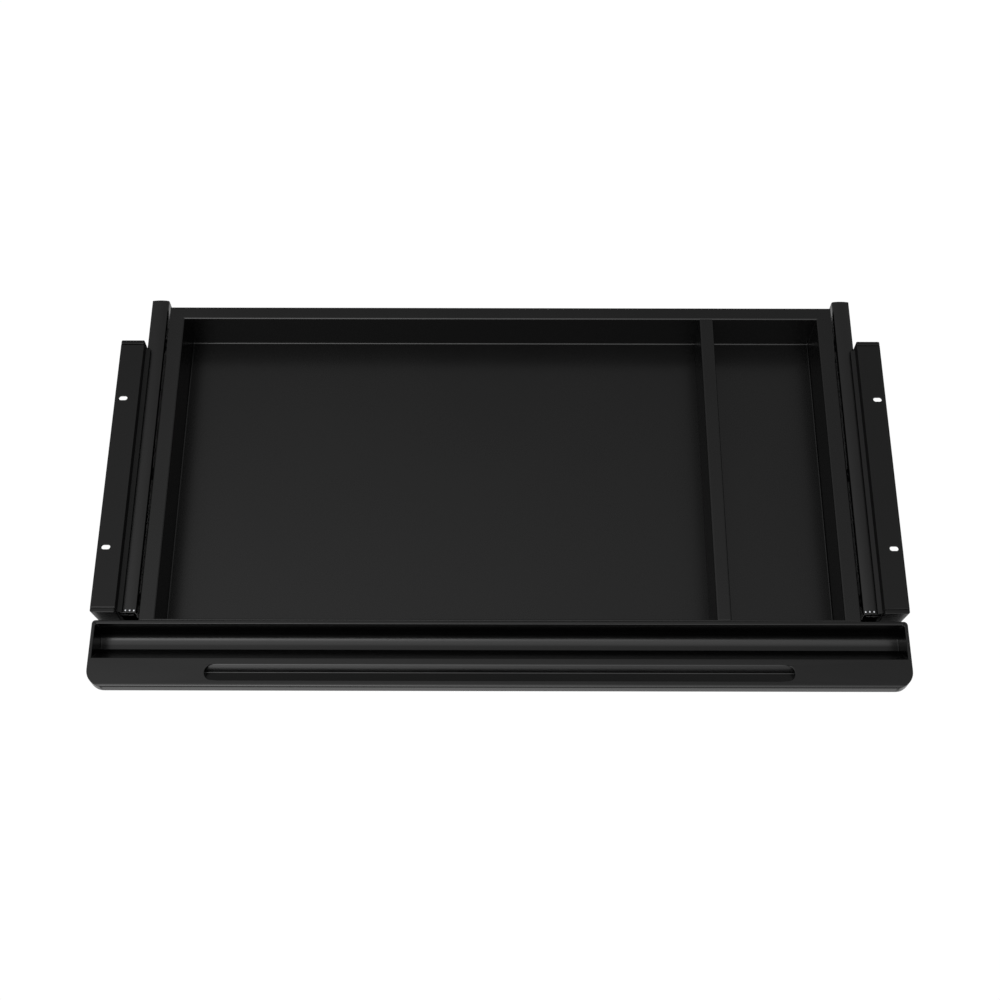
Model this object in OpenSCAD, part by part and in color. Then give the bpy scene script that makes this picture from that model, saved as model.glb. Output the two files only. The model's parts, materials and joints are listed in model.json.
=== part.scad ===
// Under-desk drawer: a shallow sheet-steel tray with a moulded front, hung on
// two ball-bearing slides from a pair of brackets that screw to a desk top.
// Origin: centre of the mounting plane, on top of the bracket flanges.
// +X to the right, +Y to the back, +Z up into the desk.

/* [Overall] */
// Width of the moulded front
front_w = 560; // [540:1:580]
// Height of the desk underside above the top of the drawer
desk_gap = 7.5; // [6.5:0.5:7.5]
// Depth of the tray below its rim
tray_h = 37.2; // [36:0.1:38]

/* [Brackets] */
// Length of each bracket along the desk, end caps included
bracket_l = 214; // [212:1:216]
// Width of the screw flange
flange_w = 17; // [16:0.5:18]
// Sheet thickness of the brackets
bracket_t = 1.5; // [1.2:0.1:1.5]
// Height of the bracket web
bracket_h = 44.5; // [44.5:0.1:46]
// Thickness of an end cap
cap_t = 3; // [2.5:0.1:3]
// Distance between the two slots of a bracket
slot_spacing = 117.4; // [110:0.1:120]
// Width of a screw slot
slot_w = 3.6; // [3.4:0.1:4.5]
// Length of a screw slot from end to end
slot_l = 6.2; // [6:0.1:8]

/* [Slides] */
// Thickness of a slide from bracket to tray
slide_t = 12.7; // [12.7:0.1:12.8]
// Height of the slide section
slide_h = 35; // [35:0.1:35.2]
// Length of the drawer-side rail
rail_l = 251; // [246:1:252]
// Sheet thickness of the rails
rail_t = 1.2; // [1.1:0.1:1.3]
// Diameter of a bearing ball
ball_d = 3.175; // [3:0.025:3.2]
// Travel of the drawer
travel = 180; // [120:5:185]

/* [Tray] */
// Depth of the tray from front wall to back edge
tray_d = 250.5; // [248:0.5:251]
// Width of the side rims
rim_w = 11.6; // [11:0.1:12]
// Width of the back rim
back_rim_w = 10.3; // [10:0.1:11]
// Sheet thickness of the tray
tray_t = 1; // [0.8:0.1:1.2]
// Bend radius where the walls meet the floor
floor_r = 1; // [0.5:0.1:2]
// Width of the divider
divider_w = 10.2; // [9:0.1:11]
// Place of the divider's left face
divider_x = 149.3; // [120:0.1:160]

/* [Front] */
// Depth of the moulded front from back to front
front_d = 47.4; // [47:0.1:48]
// Height of the moulded front at its front edge
front_h = 10.5; // [10:0.1:11]
// Radius of the front corners seen from above
corner_r = 12; // [8:0.5:14]
// Depth of the pencil trough
trough_h = 21; // [20:0.1:21.5]
// Width of the pencil trough at its top
trough_w = 24.7; // [24:0.1:25]
// Length of the finger groove
groove_l = 400; // [300:5:420]
// Depth of the finger groove
groove_h = 4.8; // [4:0.1:5.5]

/* [Hidden] */
$fn = 48;
eps = 0.01;

// ---- Widths, measured outwards from the middle plane ----
flange_lap = 0.4;                          // the flange reaches this far past the front
web_x = front_w / 2 + flange_lap - flange_w;   // inner face of the bracket web
flange_x = web_x + flange_w;               // outer edge of the flange
slide_gap = 0.3;
rail_out_x = web_x - slide_gap;            // open edge of the drawer-side rail
rail_in_x = rail_out_x - slide_t;          // outer face of its web, towards the tray
channel_x = rail_in_x + rail_t;            // inner face of its web
spacer_t = 1.7;
tray_x = rail_in_x - spacer_t;             // outer face of the tray
well_x = tray_x - rim_w;                   // inner wall of the tray

// ---- Depths ----
bracket_front = -bracket_l / 2;
bracket_back = bracket_l / 2;
sheet_front = bracket_front + cap_t;       // ends of the bracket's sheet metal
sheet_back = bracket_back - cap_t;
shut_gap = 3;                              // between the brackets and the moulded front
tray_front = bracket_front - shut_gap;
tray_back = tray_front + tray_d;
well_front = tray_front + tray_t;
well_back = tray_back - back_rim_w;
rail_front = sheet_front;
rail_back = rail_front + rail_l;
front_y = tray_front - front_d;            // front face of the moulding

// ---- Heights ----
top_z = -desk_gap;                         // top of the tray and of the moulding
tray_bottom = top_z - tray_h;
floor_z = tray_bottom + tray_t;
lip_t = 0.8;                               // guide lip of the bracket, over the rail
lip_w = 3.1;
lip_z = top_z - 0.5;
lip_rise = 0.9;                            // from the lip's inner edge to the web
rail_top = top_z - 1.4;
slide_mid = rail_top - slide_h / 2;
rim_skirt_z = tray_bottom + 2.7;           // lower edge of the rim's folded skirt

// A height mirrored about the middle of the slide
function flip_z(z) = 2 * slide_mid - z;

// ---- Slide section ----
arch_rise = 0.8;
arch_r = (slide_t * slide_t / 4 + arch_rise * arch_rise) / (2 * arch_rise);
rail_bend_r = 2.4;
rail_mid_x = rail_in_x + slide_t / 2;
ball_gap = 0.2;
ball_z = rail_top - rail_t - ball_gap - ball_d / 2;
row_zs = [ball_z, flip_z(ball_z)];
race_r = ball_d / 2 + ball_gap;
fixed_top = ball_z - 1;                    // top of the fixed rail's upper flange
fixed_flange_t = 1.8;
fixed_inner_x = channel_x + 1.6;
cage_t = 0.7;
cage_x = channel_x + 0.4;
cage_reach = 2.8;                          // of the cage's legs past the balls' middle
cage_l = rail_back - travel - sheet_front; // the rails' overlap at full travel
cage_mid_y = (bracket_front + rail_back) / 2;
cage_hole_d = 8;
cage_hole_pitch = 21;
ball_pitch = 9;
balls_per_row = 7;
ball_ys = [for (i = [0 : balls_per_row - 1])
    cage_mid_y + (i - (balls_per_row - 1) / 2) * ball_pitch];
tab_w = 5.5;                               // tab of the rail that meets the bumper
tab_h = 4.8;
tab_z = slide_mid + 6.5;
tab_y = rail_front + 4;
bumper_x = channel_x + 2.5;
bumper_l = 7;
bumper_z = slide_mid + 6;

// ---- Fasteners ----
screw_d = 4;
screw_head_d = 7.6;
screw_head_h = 2.2;
screw_dome_r = 6;
recess = [3.6, 0.8, 1];                    // length, width and depth of one bar of the recess
spacer_d = 9;
rivet_d = 3.2;
rivet_head_d = 6.4;
rivet_head_h = 1.2;
rivet_dome_r = 5;
rivet_tail_d = 5;
rivet_tail_h = 1;
bracket_screw_ys = [-80, 0, 80];
rail_screw_ys = [-88, 10, 118];
rivet_ys = [-90, -20, 50, 115];
front_screw_xs = [-220, -110, 0, 110, 220];
cover_screw_xs = [-240, -120, 0, 120, 240];

// ---- Brackets and sheet-metal bends ----
slot_x = web_x + 11;                       // middle of the screw slots
cap_h = 30;
cap_key = [8, 5, 5];
bracket_bend_r = 0.7;
rim_bend_r = 1.4;

// ---- Moulded front ----
mould_t = 2.5;
front_edge_r = 2;                          // upper front edge
back_edge_r = 0.5;                         // upper back edge
low_edge = 1;                              // bevel along the lower front edge
back_corner_r = 2.5;                       // back corners seen from above
apron_t = 2.6;                             // back wall, down to the tray's bottom
trough_back = tray_front - apron_t;
trough_front = trough_back - trough_w;
trough_floor = top_z - trough_h;
trough_floor_w = 11.8;
trough_foot = trough_back - trough_floor_w;
trough_end_x = front_w / 2 - 2.4;
trough_fillet = 8.5;
trough_corner_r = 2;
mould_bottom = top_z - front_h;
slope = (trough_foot - trough_front) / trough_h;
under_z = trough_floor - mould_t;          // underside of the trough's floor
under_foot = trough_foot + mould_t * (slope - sqrt(1 + slope * slope));
hollow_rim = 1.6;                          // lower edge between hollow and sloped wall
groove_wall = 1.8;
groove_back = front_y + 15.7;
groove_front = front_y + 4.6;
groove_crease = groove_back - 4.3;         // foot of its back wall
groove_rise = 1.4;                         // of its floor, from the crease to the front
front_screw_z = tray_bottom + 7;
cover_t = 2;
cover_screw_y = trough_front - 5;
cover_screw_l = 5;
cover_head_d = 5;
cover_head_h = 1;
boss_d = 6;
pilot_d = 2.5;

// ---- Helpers ----
// A solid on the right side, mirrored to the left when side is -1
module on_side(side) {
    if (side > 0) children();
    else mirror([1, 0, 0]) children();
}

// Extrudes a section drawn with x across and y as height, from y0 to y1 in depth
module along_depth(y0, y1) {
    translate([0, y1, 0]) rotate([90, 0, 0]) linear_extrude(y1 - y0) children();
}

// Extrudes a section drawn with x as depth and y as height, over -w/2 to w/2
module along_width(w) {
    translate([-w / 2, 0, 0]) rotate([90, 0, 90]) linear_extrude(w) children();
}

// A rectangle between two corners
module rect(a, b) {
    translate(a) square([b[0] - a[0], b[1] - a[1]]);
}

// A rectangle between two corners, with its top corners rounded
module round_top_rect(a, b, r_left, r_right) {
    difference() {
        rect(a, b);
        if (r_left > 0) corner_cut([a[0], b[1]], r_left, 1, -1);
        if (r_right > 0) corner_cut(b, r_right, -1, -1);
    }
}

// The waste outside a rounded corner; sx and sy point into the material
module corner_cut(p, r, sx, sy) {
    difference() {
        translate([p[0] + sx * r / 2 - sx * eps, p[1] + sy * r / 2 - sy * eps])
            square([r + 2 * eps, r + 2 * eps], center = true);
        translate([p[0] + sx * r, p[1] + sy * r]) circle(r = r);
    }
}

// A slot along X, cut through a plate
module slot_along_x(l, w, h) {
    translate([0, 0, -h / 2]) linear_extrude(h) {
        square([l - w, w], center = true);
        for (s = [-1, 1]) translate([s * (l - w) / 2, 0]) circle(d = w);
    }
}

// A round bar along X, from x0 to x1
module bar_x(x0, x1, d) {
    translate([x0, 0, 0]) rotate([0, 90, 0]) cylinder(h = x1 - x0, d = d);
}

// ---- Brackets ----
// Flange, web and guide lip, folded and welded from sheet
module bracket(side) {
    color("#1b1b1c") on_side(side) difference() {
        along_depth(sheet_front, sheet_back) {
            rect([web_x, -bracket_t], [flange_x, 0]);
            round_top_rect([web_x, -bracket_h], [web_x + bracket_t, 0], bracket_bend_r, 0);
            translate([web_x - lip_w, lip_z]) polygon([
                [0, -lip_t], [lip_w + bracket_t / 2, lip_rise - lip_t],
                [lip_w + bracket_t / 2, lip_rise], [lip_w, lip_rise], [0, 0]]);
        }
        for (y = [-1, 1] * slot_spacing / 2)
            translate([slot_x, y, 0]) slot_along_x(slot_l, slot_w, 4 * bracket_t);
        for (y = bracket_screw_ys)
            translate([0, y, slide_mid]) bar_x(web_x - 1, flange_x, screw_d);
    }
}

// A moulded plate that closes an end of a bracket, with a key under the flange;
// dir is -1 at the front and 1 at the back
module end_cap(side, dir) {
    y_outer = dir < 0 ? bracket_front : bracket_back;
    y_inner = y_outer - dir * cap_t;
    y_key = y_inner - dir * cap_key[1];
    color("#1b1b1c") on_side(side) {
        along_depth(min(y_outer, y_inner), max(y_outer, y_inner)) difference() {
            polygon([[web_x, 0], [flange_x, 0], [flange_x, -2],
                     [flange_x - 2, 8 - cap_h], [flange_x - 6, -cap_h], [web_x, -cap_h]]);
            corner_cut([web_x, 0], bracket_bend_r, 1, -1);
        }
        translate([web_x + bracket_t + slide_gap, min(y_inner, y_key), -bracket_t - cap_key[2]])
            cube(cap_key);
    }
}

// ---- Slides ----
// Outline of the drawer-side rail, shrunk by inset: a flat web, an open outer
// side, and an arched top and bottom
module rail_outline(inset) {
    intersection() {
        rect([rail_in_x + inset, rail_top - slide_h + inset], [rail_out_x + inset, rail_top - inset]);
        translate([rail_mid_x, rail_top - arch_r]) circle(r = arch_r - inset, $fn = 96);
        translate([rail_mid_x, rail_top - slide_h + arch_r]) circle(r = arch_r - inset, $fn = 96);
    }
}

// The cuts that the two rows of balls run in
module ball_races() {
    for (z = row_zs) translate([rail_mid_x, z]) circle(r = race_r);
}

module drawer_rail(side) {
    color("#242425") on_side(side) {
        difference() {
            along_depth(rail_front, rail_back) difference() {
                rail_outline(0);
                rail_outline(rail_t);
                corner_cut([rail_in_x, rail_top], rail_bend_r, 1, -1);
                corner_cut([rail_in_x, flip_z(rail_top)], rail_bend_r, 1, 1);
                ball_races();
            }
            for (y = rail_screw_ys)
                translate([0, y, slide_mid]) bar_x(rail_in_x - 1, channel_x + 1, screw_d);
        }
        // Lanced tab that meets the bumper when the drawer is shut
        translate([channel_x, tab_y, tab_z]) cube([tab_w, rail_t, tab_h]);
    }
}

module fixed_rail(side) {
    color("#2a2a2c") on_side(side) difference() {
        along_depth(sheet_front, sheet_back) difference() {
            union() {
                rect([web_x - rail_t, flip_z(fixed_top)], [web_x, fixed_top]);
                rect([fixed_inner_x, fixed_top - fixed_flange_t], [web_x, fixed_top]);
                rect([fixed_inner_x, flip_z(fixed_top)], [web_x, flip_z(fixed_top - fixed_flange_t)]);
            }
            ball_races();
        }
        for (y = bracket_screw_ys)
            translate([0, y, slide_mid]) bar_x(web_x - rail_t - 1, web_x + 1, screw_d);
    }
}

// Screws from the outside of the bracket into the fixed rail
module bracket_screws(side) {
    color("#3a3a3c") on_side(side) for (y = bracket_screw_ys) translate([0, y, slide_mid]) {
        bar_x(web_x - rail_t, web_x + bracket_t, screw_d);
        screw_head(web_x + bracket_t, 1);
    }
}

// Rubber block in the front of the fixed rail, just behind the lanced tab
module slide_bumper(side) {
    color("#111112") on_side(side) translate([bumper_x, tab_y + rail_t, bumper_z])
        cube([web_x - rail_t - bumper_x, bumper_l, fixed_top - fixed_flange_t - bumper_z]);
}

module ball_cage(side) {
    color("#8c8f92") on_side(side) difference() {
        translate([cage_x, cage_mid_y - cage_l / 2, 0]) {
            translate([0, 0, flip_z(ball_z) - cage_t / 2])
                cube([cage_t, cage_l, ball_z - flip_z(ball_z) + cage_t]);
            for (z = row_zs) translate([0, 0, z - cage_t / 2])
                cube([rail_mid_x + cage_reach - cage_x, cage_l, cage_t]);
        }
        for (y = ball_ys, z = row_zs)
            translate([rail_mid_x, y, z - cage_t]) cylinder(h = 2 * cage_t, d = ball_d + 0.1);
        for (i = [-1, 0, 1]) translate([0, cage_mid_y + i * cage_hole_pitch, slide_mid])
            bar_x(cage_x - 1, cage_x + 2, cage_hole_d);
    }
}

module balls(side) {
    color("#c8cbce") on_side(side) for (y = ball_ys, z = row_zs)
        translate([rail_mid_x, y, z]) sphere(d = ball_d);
}

module rail_spacers(side) {
    color("#3a3a3c") on_side(side) for (y = rail_screw_ys) translate([0, y, slide_mid])
        difference() {
            bar_x(tray_x, rail_in_x, spacer_d);
            bar_x(tray_x - 1, rail_in_x + 1, screw_d);
        }
}

// Screws from inside the tray's hollow rim, through the spacers into the rail
module rail_screws(side) {
    color("#3a3a3c") on_side(side) for (y = rail_screw_ys) translate([0, y, slide_mid]) {
        bar_x(tray_x - tray_t, channel_x, screw_d);
        screw_head(tray_x - tray_t, -1);
    }
}

// A low domed screw head on the face at x, pointing outwards (1) or inwards (-1)
module screw_head(x, dir) {
    translate([x, 0, 0]) rotate([0, 90 * dir, 0]) difference() {
        intersection() {
            cylinder(h = screw_head_h, d = screw_head_d);
            translate([0, 0, screw_head_h - screw_dome_r]) sphere(r = screw_dome_r);
        }
        for (a = [0, 90]) rotate([0, 0, a])
            translate([-recess[0] / 2, -recess[1] / 2, screw_head_h - recess[2]]) cube(recess);
    }
}

// ---- Tray ----
// The block bounded by the rims and skirts, its top edges rounded, shrunk by inset
module tray_block(inset, z_low) {
    r = max(rim_bend_r - inset, 0);
    intersection() {
        along_depth(tray_front, tray_back - inset)
            round_top_rect([-tray_x + inset, z_low], [tray_x - inset, top_z - inset], r, r);
        along_width(2 * tray_x)
            round_top_rect([tray_front, z_low], [tray_back - inset, top_z - inset], 0, r);
    }
}

// The open well of the tray with bent floor edges, grown outwards by a sheet thickness
module well(grow, z_high) {
    r = floor_r + grow;
    z = floor_z - grow;
    intersection() {
        along_depth(well_front - grow, well_back + grow)
            mirror([0, 1]) round_top_rect([-well_x - grow, -z_high], [well_x + grow, -z], r, r);
        along_width(2 * (well_x + grow))
            mirror([0, 1]) round_top_rect([well_front - grow, -z_high], [well_back + grow, -z], r, r);
    }
}

module drawer_tray() {
    color("#1d1d1e") difference() {
        union() {
            difference() {
                tray_block(0, rim_skirt_z);
                tray_block(tray_t, rim_skirt_z - 1);
            }
            well(tray_t, top_z - tray_t / 2);
        }
        well(0, top_z + 1);
        for (side = [-1, 1], y = rail_screw_ys) on_side(side) translate([0, y, slide_mid])
            bar_x(tray_x - tray_t - 0.5, tray_x + 1, screw_d);
        for (x = front_screw_xs) translate([x, tray_front - 1, front_screw_z])
            rotate([-90, 0, 0]) cylinder(h = tray_t + 2, d = screw_d);
        rivet_holes(tray_bottom);
    }
}

// Through holes for the divider's rivets in the sheet whose underside is at z
module rivet_holes(z) {
    for (y = rivet_ys) translate([divider_x + divider_w / 2, y, z - 1])
        cylinder(h = tray_t + 2, d = rivet_d);
}

// A folded strip from the front wall to the back wall: two sides, a top and a foot
module divider() {
    x0 = divider_x;
    x1 = divider_x + divider_w;
    color("#1d1d1e") difference() {
        along_depth(well_front, well_back) difference() {
            round_top_rect([x0, floor_z], [x1, top_z], rim_bend_r, rim_bend_r);
            rect([x0 + tray_t, floor_z + tray_t], [x1 - tray_t, top_z - tray_t]);
            rect([x1 - 2 * tray_t, floor_z - 1], [x1 - tray_t, floor_z + 2 * tray_t]);
        }
        rivet_holes(floor_z);
        for (y = [well_front, well_back]) translate([0, y, floor_z])
            bar_x(x0 - 1, x1 + 1, 2 * floor_r + 0.4);
    }
}

module divider_rivets() {
    color("#2a2a2c") for (y = rivet_ys) translate([divider_x + divider_w / 2, y, tray_bottom]) {
        cylinder(h = 2 * tray_t, d = rivet_d);
        translate([0, 0, 2 * tray_t]) cylinder(h = rivet_tail_h, d = rivet_tail_d);
        intersection() {
            translate([0, 0, -rivet_head_h]) cylinder(h = rivet_head_h, d = rivet_head_d);
            translate([0, 0, rivet_dome_r - rivet_head_h]) sphere(r = rivet_dome_r);
        }
    }
}

// ---- Moulded front ----
// Outline from above, shrunk by inset
module front_outline(inset) {
    w = front_w / 2 - inset;
    y0 = front_y + inset;
    difference() {
        rect([-w, y0], [w, tray_front]);
        for (s = [-1, 1]) {
            corner_cut([s * w, y0], corner_r - inset, -s, 1);
            corner_cut([s * w, tray_front], back_corner_r, -s, -1);
        }
    }
}

// Depth of the sloped wall's underside at height z
function under_y(z) = under_foot - slope * (z - under_z);

// Section of the moulding: apron and trough at the back, deck at the front
module front_section() {
    polygon([[tray_front, top_z], [tray_front, tray_bottom], [trough_back, tray_bottom],
             [trough_back, under_z], [under_foot, under_z], [under_y(mould_bottom), mould_bottom],
             [front_y + low_edge, mould_bottom], [front_y, mould_bottom + low_edge],
             [front_y, top_z]]);
}

// Section of the pencil trough, with a rounded corner at the back of its floor
module trough_section() {
    difference() {
        polygon([[trough_back, top_z + 1], [trough_back, trough_floor], [trough_foot, trough_floor],
                 [trough_front, top_z], [trough_front, top_z + 1]]);
        corner_cut([trough_back, trough_floor], trough_fillet, -1, 1);
    }
}

// The finger groove, grown outwards: round ends, a sloped back wall and a floor
// that rises gently to the front
module groove(grow) {
    low = top_z - groove_h - grow;
    y0 = groove_front - grow;
    y1 = groove_back + grow;
    intersection() {
        translate([0, (y0 + y1) / 2, top_z])
            slot_along_x(groove_l + 2 * grow, y1 - y0, 4 * groove_h);
        along_width(groove_l + 2 * grow) polygon([
            [y0, top_z + 1], [y0, low + groove_rise], [groove_crease, low], [y1, top_z],
            [y1, top_z + 1]]);
    }
}

// The pencil trough, its back corners rounded seen from above
module trough() {
    intersection() {
        along_width(2 * trough_end_x) trough_section();
        translate([0, 0, trough_floor - 1]) linear_extrude(trough_h + 3) difference() {
            rect([-trough_end_x, trough_front], [trough_end_x, trough_back]);
            for (s = [-1, 1])
                corner_cut([s * trough_end_x, trough_back], trough_corner_r, -s, -1);
        }
    }
}

// The hollow under the deck, closed from below by the bottom cover
module deck_hollow() {
    intersection() {
        translate([0, 0, mould_bottom - 1]) linear_extrude(front_h) front_outline(mould_t);
        along_width(front_w) polygon([
            [front_y + mould_t, mould_bottom - 1], [front_y + mould_t, top_z - mould_t],
            [trough_front - mould_t, top_z - mould_t],
            [under_y(mould_bottom) - hollow_rim, mould_bottom - 1]]);
    }
}

// Pilot holes for the cover screws, upwards from below the cover
module cover_pilots() {
    for (x = cover_screw_xs) translate([x, cover_screw_y, mould_bottom - 1])
        cylinder(h = cover_screw_l + 1, d = pilot_d);
}

module front_moulding() {
    color("#202022") difference() {
        intersection() {
            translate([0, 0, tray_bottom]) linear_extrude(tray_h) front_outline(0);
            along_width(front_w) front_section();
            along_width(front_w) round_top_rect([front_y, tray_bottom], [tray_front, top_z],
                                                front_edge_r, back_edge_r);
        }
        trough();
        groove(0);
        difference() {
            deck_hollow();
            groove(groove_wall);
            for (x = cover_screw_xs) translate([x, cover_screw_y, mould_bottom + cover_t])
                cylinder(h = front_h, d = boss_d);
        }
        cover_pilots();
        for (x = front_screw_xs) translate([x, tray_front + 1, front_screw_z])
            rotate([90, 0, 0]) cylinder(h = apron_t + 2, d = screw_d);
    }
}

module front_bottom_cover() {
    color("#202022") difference() {
        intersection() {
            deck_hollow();
            translate([-front_w / 2, front_y, mould_bottom]) cube([front_w, front_d, cover_t]);
        }
        cover_pilots();
    }
}

// Screws from inside the tray into the moulding's apron
module front_screws() {
    color("#2a2a2c") for (x = front_screw_xs)
        translate([x, 0, front_screw_z]) rotate([0, 0, 90]) {
            bar_x(trough_back, well_front, screw_d);
            screw_head(well_front, 1);
        }
}

module cover_screws() {
    color("#2a2a2c") for (x = cover_screw_xs) translate([x, cover_screw_y, mould_bottom]) {
        cylinder(h = cover_screw_l, d = pilot_d);
        translate([0, 0, -cover_head_h]) cylinder(h = cover_head_h, d = cover_head_d);
    }
}

bracket(-1);  // left_bracket
bracket(1);  // right_bracket
end_cap(-1, -1);  // left_front_end_cap
end_cap(1, -1);  // right_front_end_cap
end_cap(-1, 1);  // left_back_end_cap
end_cap(1, 1);  // right_back_end_cap
fixed_rail(-1);  // left_fixed_rail
fixed_rail(1);  // right_fixed_rail
bracket_screws(-1);  // left_bracket_screws
bracket_screws(1);  // right_bracket_screws
slide_bumper(-1);  // left_slide_bumper
slide_bumper(1);  // right_slide_bumper
ball_cage(-1);  // left_ball_cage
ball_cage(1);  // right_ball_cage
balls(-1);  // left_balls
balls(1);  // right_balls
drawer_rail(-1);  // left_drawer_rail
drawer_rail(1);  // right_drawer_rail
rail_spacers(-1);  // left_rail_spacers
rail_spacers(1);  // right_rail_spacers
rail_screws(-1);  // left_rail_screws
rail_screws(1);  // right_rail_screws
drawer_tray();
divider();
divider_rivets();
front_moulding();
front_bottom_cover();
front_screws();
cover_screws();
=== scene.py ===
"""Looks of the under-desk drawer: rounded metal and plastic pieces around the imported
model, procedural finishes, a white studio and the camera. Metres, in the CAD frame."""
import json
import math

import bmesh
import bpy
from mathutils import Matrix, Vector

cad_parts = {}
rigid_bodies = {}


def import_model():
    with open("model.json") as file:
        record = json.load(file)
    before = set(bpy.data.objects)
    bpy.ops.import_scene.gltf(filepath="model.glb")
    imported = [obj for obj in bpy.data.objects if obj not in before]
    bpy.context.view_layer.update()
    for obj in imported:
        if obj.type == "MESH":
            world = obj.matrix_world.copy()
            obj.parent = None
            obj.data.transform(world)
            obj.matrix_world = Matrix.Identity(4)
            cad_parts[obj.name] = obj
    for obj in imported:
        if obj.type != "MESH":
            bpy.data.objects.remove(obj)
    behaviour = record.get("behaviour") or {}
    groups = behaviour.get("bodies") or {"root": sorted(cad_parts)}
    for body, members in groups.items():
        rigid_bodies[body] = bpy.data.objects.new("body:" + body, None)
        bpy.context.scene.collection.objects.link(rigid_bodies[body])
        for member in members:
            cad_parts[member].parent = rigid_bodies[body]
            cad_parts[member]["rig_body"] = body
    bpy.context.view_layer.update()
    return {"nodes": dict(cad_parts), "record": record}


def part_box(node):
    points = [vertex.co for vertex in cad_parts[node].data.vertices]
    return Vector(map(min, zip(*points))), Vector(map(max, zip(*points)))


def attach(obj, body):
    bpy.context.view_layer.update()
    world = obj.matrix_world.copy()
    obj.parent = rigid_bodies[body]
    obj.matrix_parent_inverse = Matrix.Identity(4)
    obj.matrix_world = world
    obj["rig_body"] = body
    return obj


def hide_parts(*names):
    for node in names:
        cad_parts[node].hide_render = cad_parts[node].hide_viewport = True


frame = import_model()

MM = 0.001
NEAR = 0.1 * MM                   # places closer than this count as the same


# ---- Camera ----
SENSOR = 36                       # mm
FOCAL = 55.74                     # mm, on that sensor
NEAREST = 50 * MM                 # nothing closer to the camera than this is seen
ELEVATION = math.radians(65.559)  # above the desk plane
YAW = math.radians(-0.1315)
DISTANCE = 1092.44 * MM
TARGET = Vector((0, -22.34 * MM, 0))


def make_camera():
    """A camera that looks at the target from the front and above."""
    data = bpy.data.cameras.new("camera")
    data.lens = FOCAL
    data.sensor_width = SENSOR
    data.clip_start = NEAREST
    camera = bpy.data.objects.new("camera", data)
    look = Vector((math.sin(YAW) * math.cos(ELEVATION),
                   math.cos(YAW) * math.cos(ELEVATION), -math.sin(ELEVATION)))
    camera.location = TARGET - look * DISTANCE
    camera.rotation_euler = (math.pi / 2 - ELEVATION, 0, -YAW)
    bpy.context.scene.collection.objects.link(camera)
    bpy.context.scene.camera = camera


# ---- Studio ----
FLOOR_DROP = 0.45          # floor below the flanges
FLOOR_RADIUS = 14
SKY = 0.54                 # brightness of the surroundings above the floor
BACKDROP = 1.02            # brightness of the floor and the surroundings as the camera sees them
FLOOR_GLOW = 0.66          # brightness of the floor as the object sees it
KEY_SIDE = Vector((-0.30, -0.77, 0.56)).normalized()
WASH_SIDE = Vector((-0.30, -0.55, 0.78)).normalized()
DARK_SIDE = Vector((0, 0.95, 0.3)).normalized()
GLOWS = (                  # soft glows: side, outer and inner angle, brightness
    (WASH_SIDE, 66, 30, 1.3),
    (KEY_SIDE, 34, 5, 2.6),
    (DARK_SIDE, 45, 5, -0.4),
)
KEY_DISTANCE = 1.9         # of the one lamp, which stands on the key side
KEY_SIZE = (0.8, 0.8)
KEY_GLOW = 1.5             # its brightness


def area_light(name, place, size, glow):
    """A soft rectangular light of that brightness, which faces the object."""
    data = bpy.data.lights.new(name, "AREA")
    data.shape = "RECTANGLE"
    data.size, data.size_y = size
    data.energy = glow * math.pi * size[0] * size[1]
    lamp = bpy.data.objects.new(name, data)
    lamp.location = place
    lamp.rotation_euler = (-place).to_track_quat("-Z", "Y").to_euler()
    bpy.context.scene.collection.objects.link(lamp)


def make_surroundings():
    """A dim sky with soft glows in it, which the camera sees as plain white."""
    scene = bpy.context.scene
    scene.view_settings.view_transform = "Standard"
    world = bpy.data.worlds.new("studio")
    world.use_nodes = True
    nodes, links = world.node_tree.nodes, world.node_tree.links
    nodes.clear()
    out = nodes.new("ShaderNodeOutputWorld")
    mix = nodes.new("ShaderNodeMixShader")
    path = nodes.new("ShaderNodeLightPath")
    sky = nodes.new("ShaderNodeBackground")
    place = nodes.new("ShaderNodeTexCoord").outputs["Generated"]
    brightness = None
    for side, outer, inner, glow in GLOWS:
        toward = nodes.new("ShaderNodeVectorMath")
        toward.operation = "DOT_PRODUCT"
        toward.inputs[1].default_value = side
        links.new(place, toward.inputs[0])
        ramp = nodes.new("ShaderNodeMapRange")
        ramp.interpolation_type = "SMOOTHSTEP"
        ramp.inputs["From Min"].default_value = math.cos(math.radians(outer))
        ramp.inputs["From Max"].default_value = math.cos(math.radians(inner))
        ramp.inputs["To Max"].default_value = glow
        links.new(toward.outputs["Value"], ramp.inputs["Value"])
        total = nodes.new("ShaderNodeMath")
        total.inputs[0].default_value = SKY
        if brightness:
            links.new(brightness, total.inputs[0])
        links.new(ramp.outputs[0], total.inputs[1])
        brightness = total.outputs[0]
    links.new(brightness, sky.inputs["Strength"])
    sky.inputs["Color"].default_value = (1, 1, 1, 1)
    backdrop = nodes.new("ShaderNodeBackground")
    backdrop.inputs["Color"].default_value = (1, 1, 1, 1)
    backdrop.inputs["Strength"].default_value = BACKDROP
    links.new(path.outputs["Is Camera Ray"], mix.inputs[0])
    links.new(sky.outputs[0], mix.inputs[1])
    links.new(backdrop.outputs[0], mix.inputs[2])
    links.new(mix.outputs[0], out.inputs[0])
    scene.world = world


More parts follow.
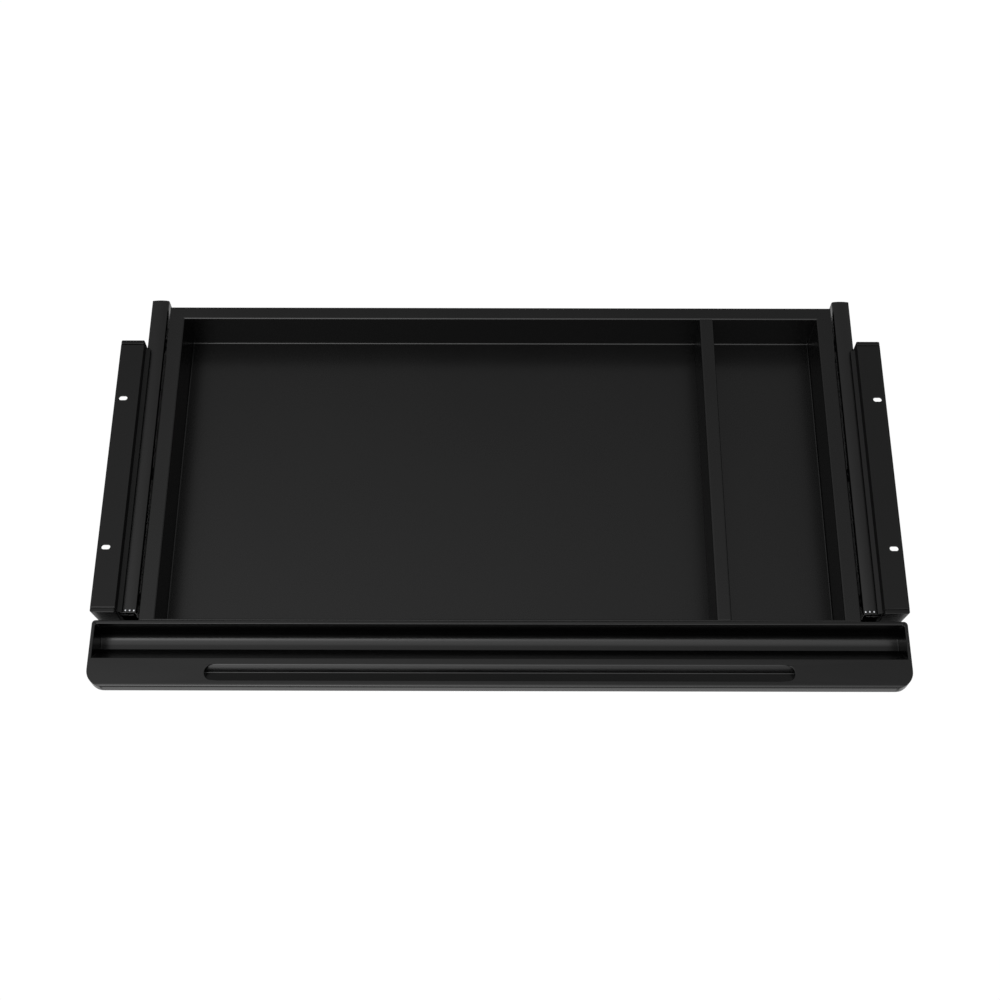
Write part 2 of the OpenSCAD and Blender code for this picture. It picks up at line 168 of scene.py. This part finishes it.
def make_floor():
    """A white floor that the object sees dimmer than the camera does."""
    bpy.ops.mesh.primitive_circle_add(vertices=64, radius=FLOOR_RADIUS, fill_type="NGON",
                                      location=(0, 0, -FLOOR_DROP))
    floor = bpy.context.object
    floor.name = "floor"
    white = bpy.data.materials.new("floor_white")
    white.use_nodes = True
    nodes, links = white.node_tree.nodes, white.node_tree.links
    shader = nodes["Principled BSDF"]
    shader.inputs["Base Color"].default_value = (0, 0, 0, 1)
    shader.inputs["Specular IOR Level"].default_value = 0
    shader.inputs["Roughness"].default_value = 1
    shader.inputs["Emission Color"].default_value = (1, 1, 1, 1)
    glow = nodes.new("ShaderNodeMapRange")
    glow.inputs["To Min"].default_value = FLOOR_GLOW
    glow.inputs["To Max"].default_value = BACKDROP
    path = nodes.new("ShaderNodeLightPath")
    links.new(path.outputs["Is Camera Ray"], glow.inputs["Value"])
    links.new(glow.outputs[0], shader.inputs["Emission Strength"])
    floor.data.materials.append(white)


# ---- Finishes ----
FINE_SHARE = 0.35          # of the fine grain in the gloss; the rest follows the clouds
NOISE_SPAN = (0.3, 0.7)    # noise values that stand for the ends of a range


def finish(name, tones, roughness, grain, metallic=0.0, ior=1.4, blotch=9.0):
    """A procedural finish: two close tones, uneven gloss and a fine bumped grain.

    tones are the darker and lighter colour, roughness its range, grain is
    (size in mm, height in mm) of the bumps, blotch the number of clouds of tone to a metre.
    """
    material = bpy.data.materials.new(name)
    material.use_nodes = True
    nodes, links = material.node_tree.nodes, material.node_tree.links
    shader = nodes["Principled BSDF"]
    shader.inputs["Metallic"].default_value = metallic
    shader.inputs["IOR"].default_value = ior
    place = nodes.new("ShaderNodeTexCoord").outputs["Object"]

    cloud = nodes.new("ShaderNodeTexNoise")
    cloud.inputs["Scale"].default_value = blotch
    cloud.inputs["Detail"].default_value = 4
    links.new(place, cloud.inputs["Vector"])

    colour = nodes.new("ShaderNodeMix")
    colour.data_type = "RGBA"
    colour.inputs["A"].default_value = (*tones[0], 1)
    colour.inputs["B"].default_value = (*tones[1], 1)
    links.new(cloud.outputs["Fac"], colour.inputs["Factor"])
    links.new(colour.outputs["Result"], shader.inputs["Base Color"])

    fine = nodes.new("ShaderNodeTexNoise")
    fine.inputs["Scale"].default_value = 1 / (grain[0] * MM)
    fine.inputs["Detail"].default_value = 3
    fine.inputs["Roughness"].default_value = 0.6
    links.new(place, fine.inputs["Vector"])

    gloss = nodes.new("ShaderNodeMapRange")
    gloss.inputs["From Min"].default_value = NOISE_SPAN[0]
    gloss.inputs["From Max"].default_value = NOISE_SPAN[1]
    gloss.inputs["To Min"].default_value = roughness[0]
    gloss.inputs["To Max"].default_value = roughness[1]
    both = nodes.new("ShaderNodeMath")
    both.operation = "MULTIPLY_ADD"
    both.inputs[1].default_value = FINE_SHARE
    links.new(fine.outputs["Fac"], both.inputs[0])
    rest = nodes.new("ShaderNodeMath")
    rest.operation = "MULTIPLY"
    rest.inputs[1].default_value = 1 - FINE_SHARE
    links.new(cloud.outputs["Fac"], rest.inputs[0])
    links.new(rest.outputs[0], both.inputs[2])
    links.new(both.outputs[0], gloss.inputs["Value"])
    links.new(gloss.outputs[0], shader.inputs["Roughness"])

    bump = nodes.new("ShaderNodeBump")
    bump.inputs["Strength"].default_value = 1
    bump.inputs["Distance"].default_value = grain[1] * MM
    links.new(fine.outputs["Fac"], bump.inputs["Height"])
    links.new(bump.outputs[0], shader.inputs["Normal"])
    return material


def make_finishes():
    """The finish of each material slot. On black paint and plastic the index sets the sheen."""
    blacks = ((0.0003, 0.0003, 0.0003), (0.0008, 0.0008, 0.0008))
    return {
        "bracket_steel": finish("bracket_powder_coat", blacks, (0.36, 0.44), (0.7, 0.006), ior=1.33),
        "tray_steel": finish("tray_powder_coat", blacks, (0.24, 0.31), (0.6, 0.004), ior=1.39),
        "rail_steel": finish("rail_electrocoat", blacks, (0.22, 0.28), (1.6, 0.003), ior=1.44),
        "cap_plastic": finish("cap_moulded_plastic", blacks, (0.20, 0.26), (0.35, 0.003),
                              ior=1.34),
        "front_plastic": finish("front_moulded_plastic", blacks, (0.20, 0.26), (0.35, 0.002),
                                ior=1.4),
        "screw_steel": finish("screw_black_zinc", ((0.05, 0.05, 0.055), (0.09, 0.09, 0.095)),
                              (0.22, 0.38), (0.5, 0.004), metallic=1.0),
        "cage_steel": finish("cage_bright_zinc", ((0.42, 0.43, 0.45), (0.55, 0.56, 0.58)),
                             (0.25, 0.42), (0.8, 0.004), metallic=1.0, blotch=60),
        "ball_steel": finish("ball_polished_steel", ((0.60, 0.60, 0.62), (0.70, 0.70, 0.72)),
                             (0.06, 0.12), (0.3, 0.0005), metallic=1.0),
        "bumper_rubber": finish("bumper_rubber", ((0.010, 0.010, 0.010), (0.016, 0.016, 0.016)),
                                (0.65, 0.8), (0.4, 0.01)),
    }


# ---- Rounded pieces ----
FLAT = math.radians(0.4)       # faces closer than this in angle are one flat face
CORNER = math.radians(24)      # edges sharper than this get a radius
RING = 60                      # a level face with more corners than this is too intricate
LEVEL = 0.99                   # a part of a face's normal over this lies along that axis
WELD = 0.002 * MM              # vertices closer than this are one
SEGMENTS = 3                   # of a rounded edge


def needs_split(face):
    """Whether a face is too intricate to stay in one piece while its edges are rounded."""
    ring = face.normal.z > LEVEL and len(face.verts) > RING
    return ring or abs(face.normal.x) > LEVEL


def edge_facts(edge):
    """Middle point and direction of an edge."""
    a, b = (v.co for v in edge.verts)
    return (a + b) / 2, (b - a).normalized()


def rounded(node, radius, split=False):
    """A piece with a CAD node's own shape and rounded edges, which replaces the node.

    radius is in mm, or a function of an edge's middle and direction.
    split divides the intricate flat faces into convex parts first.
    """
    source = frame["nodes"][node]
    mesh = bpy.data.meshes.new(node + "_shape")
    bm = bmesh.new()
    bm.from_mesh(source.data)
    bmesh.ops.remove_doubles(bm, verts=bm.verts, dist=WELD)
    bmesh.ops.dissolve_limit(bm, angle_limit=FLAT, verts=bm.verts, edges=bm.edges)
    bm.normal_update()
    if split:
        large = [face for face in bm.faces if needs_split(face)]
        bmesh.ops.connect_verts_concave(bm, faces=large)
    bm.normal_update()
    weight = bm.edges.layers.float.new("bevel_weight_edge")
    widths = {}
    for edge in bm.edges:
        if len(edge.link_faces) == 2 and edge.calc_face_angle() > CORNER:
            widths[edge] = radius(*edge_facts(edge)) if callable(radius) else radius
    widest = max(widths.values())
    for edge, width in widths.items():
        edge[weight] = width / widest
    for face in bm.faces:
        face.smooth = True
    bm.to_mesh(mesh)
    bm.free()
    piece = bpy.data.objects.new(node + "_piece", mesh)
    bpy.context.scene.collection.objects.link(piece)
    bevel = piece.modifiers.new("edges", "BEVEL")
    bevel.limit_method = "WEIGHT"
    bevel.width = widest * MM
    bevel.segments = SEGMENTS
    bevel.use_clamp_overlap = False
    shading = piece.modifiers.new("flat_faces", "WEIGHTED_NORMAL")
    shading.weight = 100
    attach(piece, source["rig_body"])
    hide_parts(node)
    slot = SLOT_OF[node]
    piece.data.materials.append(FINISHES[slot])


make_camera()
make_surroundings()
make_floor()
area_light("key", KEY_SIDE * KEY_DISTANCE, KEY_SIZE, KEY_GLOW)
FINISHES = make_finishes()
SLOT_OF = {p["node"]: p["material_slot"] for p in frame["record"]["subparts"]}

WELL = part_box("divider")        # the divider runs from wall to wall of the well
TOP = WELL[1].z


def tray_radius(middle, direction):
    """Folds at the mouth of the well are round; the sheet's cut edges are nearly sharp."""
    at_top = abs(middle.z - TOP) < NEAR
    return 1.1 if at_top and middle.y > WELL[0].y + NEAR else 0.3


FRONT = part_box("front_moulding")
APRON_REACH = 14 * MM           # height over the bottom in which every edge is alike
GROOVE_DEPTH = 17 * MM          # the finger groove lies within this of the front face
LIP = (19.5 * MM, 20.7 * MM)    # front lip of the pencil trough, from the front face
BACK_STRIP = 44 * MM            # the strip behind the trough begins here


def front_radius(middle, direction):
    """Edges are eased alike but for a crisp front lip and softer back edges on the trough."""
    depth = middle.y - FRONT[0].y
    at_top = abs(middle.z - TOP) < NEAR
    if depth < GROOVE_DEPTH or middle.z < FRONT[0].z + APRON_REACH:
        return 0.4
    if at_top and LIP[0] < depth < LIP[1]:
        return 0.15
    return 0.6 if at_top and depth > BACK_STRIP else 0.5


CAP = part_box("right_front_end_cap")
CAP_INNER = 9 * MM              # the outer side of a cap lies further out than this from its inner side


def cap_radius(middle, direction):
    """The outer side of a cap turns into its end face with a large radius."""
    outer = abs(middle.x) > CAP[0].x + CAP_INNER and abs(direction.z) > 0.7
    at_end = abs(middle.y) > -CAP[0].y - NEAR
    return 1.6 if outer and at_end else 0.4


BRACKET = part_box("right_bracket")


def bracket_radius(middle, direction):
    """The ends of the flange's top are eased where the caps meet it."""
    at_top = middle.z > BRACKET[1].z - NEAR
    at_end = abs(direction.x) > 0.9 and abs(middle.y) > BRACKET[1].y - NEAR
    return 1.2 if at_top and at_end else 0.25


ROUNDED = {
    "front_moulding": front_radius, "drawer_tray": tray_radius, "divider": 0.3,
    "left_bracket": bracket_radius, "right_bracket": bracket_radius,
    "left_front_end_cap": cap_radius, "right_front_end_cap": cap_radius,
    "left_back_end_cap": cap_radius, "right_back_end_cap": cap_radius,
    "left_drawer_rail": 0.2, "right_drawer_rail": 0.2,
}
for node, radius in ROUNDED.items():
    rounded(node, radius, split=node == "front_moulding")


# ---- Pips: three bright domes at the front end of each drawer-side rail, in mm ----
PIP_PLACES = ((2.0, 0.36), (4.8, 0.05), (7.8, 0.04))   # from the rail's tray side, and below its top
PIP_SETBACK = 1.8               # from the rail's front end
PIP_RADIUS = 0.75
PIP_HEIGHT = 0.35


def rail_pips(side, rail):
    """The pips of one rail, which ride with it; side is -1 on the left and 1 on the right."""
    low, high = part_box(rail)
    tray_side = min(abs(low.x), abs(high.x))
    bm = bmesh.new()
    for across, drop in PIP_PLACES:
        made = bmesh.ops.create_uvsphere(bm, u_segments=20, v_segments=12, radius=PIP_RADIUS * MM)
        bmesh.ops.scale(bm, verts=made["verts"], vec=(1, 1, PIP_HEIGHT / PIP_RADIUS))
        place = (side * (tray_side + across * MM), low.y + PIP_SETBACK * MM, high.z - drop * MM)
        bmesh.ops.translate(bm, verts=made["verts"], vec=place)
    for face in bm.faces:
        face.smooth = True
    mesh = bpy.data.meshes.new(rail + "_pips")
    bm.to_mesh(mesh)
    bm.free()
    pips = bpy.data.objects.new(rail + "_pips", mesh)
    bpy.context.scene.collection.objects.link(pips)
    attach(pips, frame["nodes"][rail]["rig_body"])
    mesh.materials.append(FINISHES["cage_steel"])


rail_pips(-1, "left_drawer_rail")
rail_pips(1, "right_drawer_rail")

for node, obj in frame["nodes"].items():
    if node not in ROUNDED:
        obj.data.materials.clear()
        obj.data.materials.append(FINISHES[SLOT_OF[node]])
